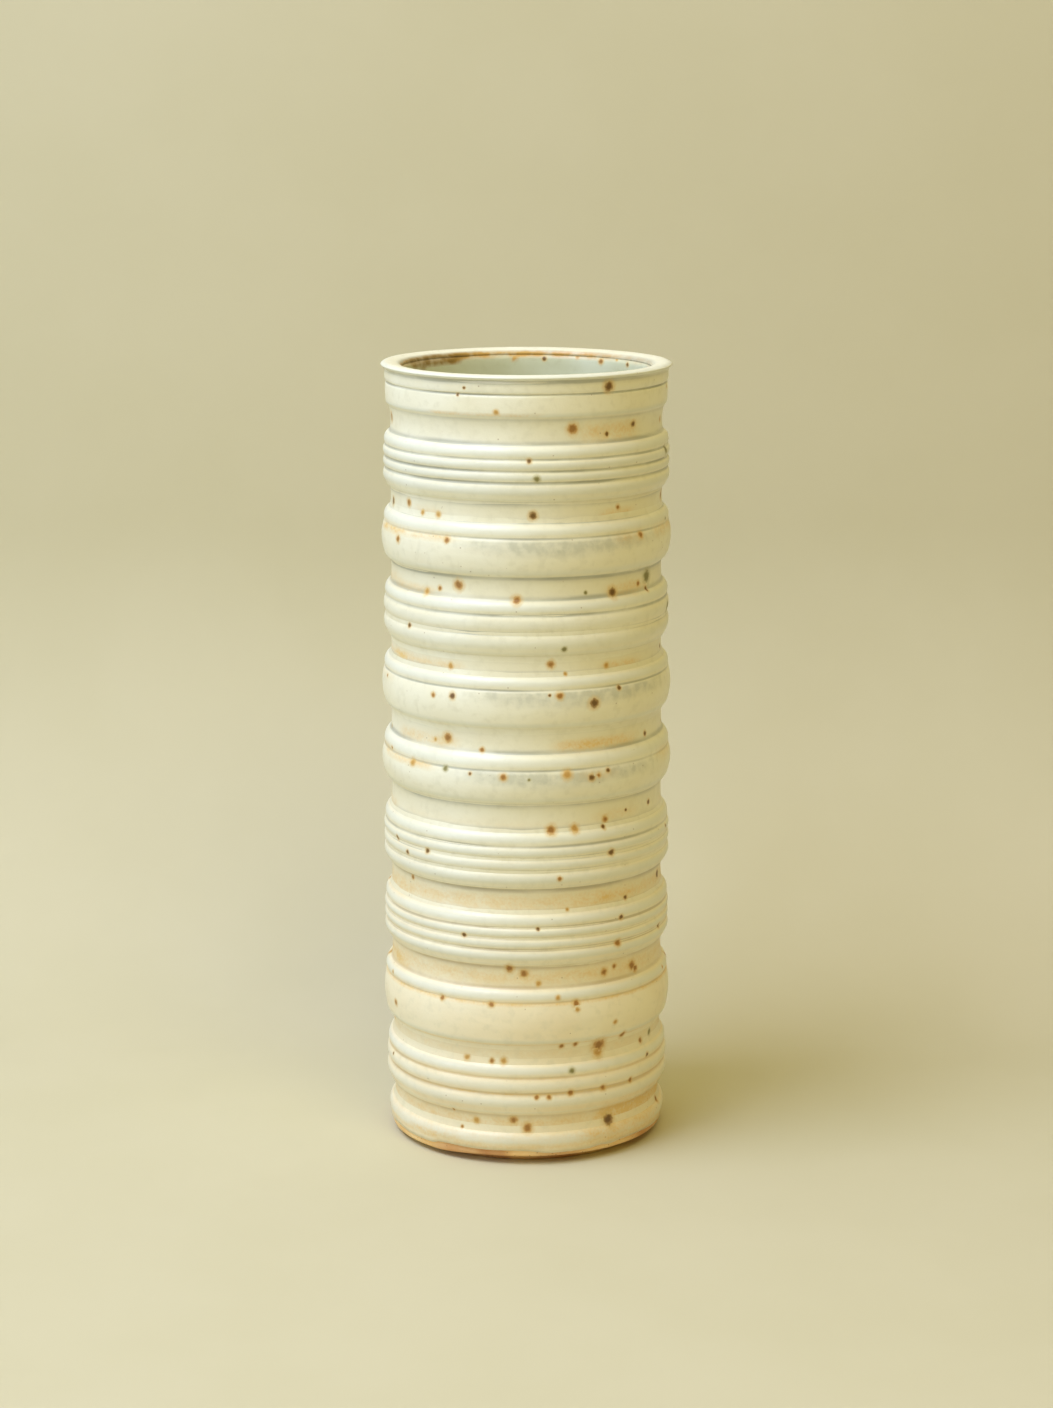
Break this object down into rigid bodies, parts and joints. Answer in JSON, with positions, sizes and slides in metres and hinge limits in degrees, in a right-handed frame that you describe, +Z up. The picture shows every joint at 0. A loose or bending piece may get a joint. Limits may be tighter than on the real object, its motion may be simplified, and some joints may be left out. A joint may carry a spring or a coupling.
{
  "type": "vase",
  "caption": "Tall straight-sided wheel-thrown stoneware vase with collared and reeded bands outside, a thin flared lip and a bare clay foot.",
  "frame": {"origin": "centre of the foot, on the plane the vase stands on", "axes": "+Z up along the axis of the vase, from the foot to the lip; +X and +Y lie in the standing plane"},
  "size_m": [0.0854, 0.0854, 0.2306],
  "materials": {
    "stoneware_clay": "bare fired clay, turned on the wheel, with rust-coloured toasting",
    "outer_glaze": "satin to glossy cream glaze with iron spots, tan in the waists and blue-grey in the grooves",
    "liner_glaze": "glossy pale celadon grey-green liner, brown where it thins at the lip"
  },
  "bodies": {
    "root": {"stoneware_body": "stoneware_clay", "outer_glaze": "outer_glaze", "liner_glaze": "liner_glaze"}
  },
  "joints": []
}
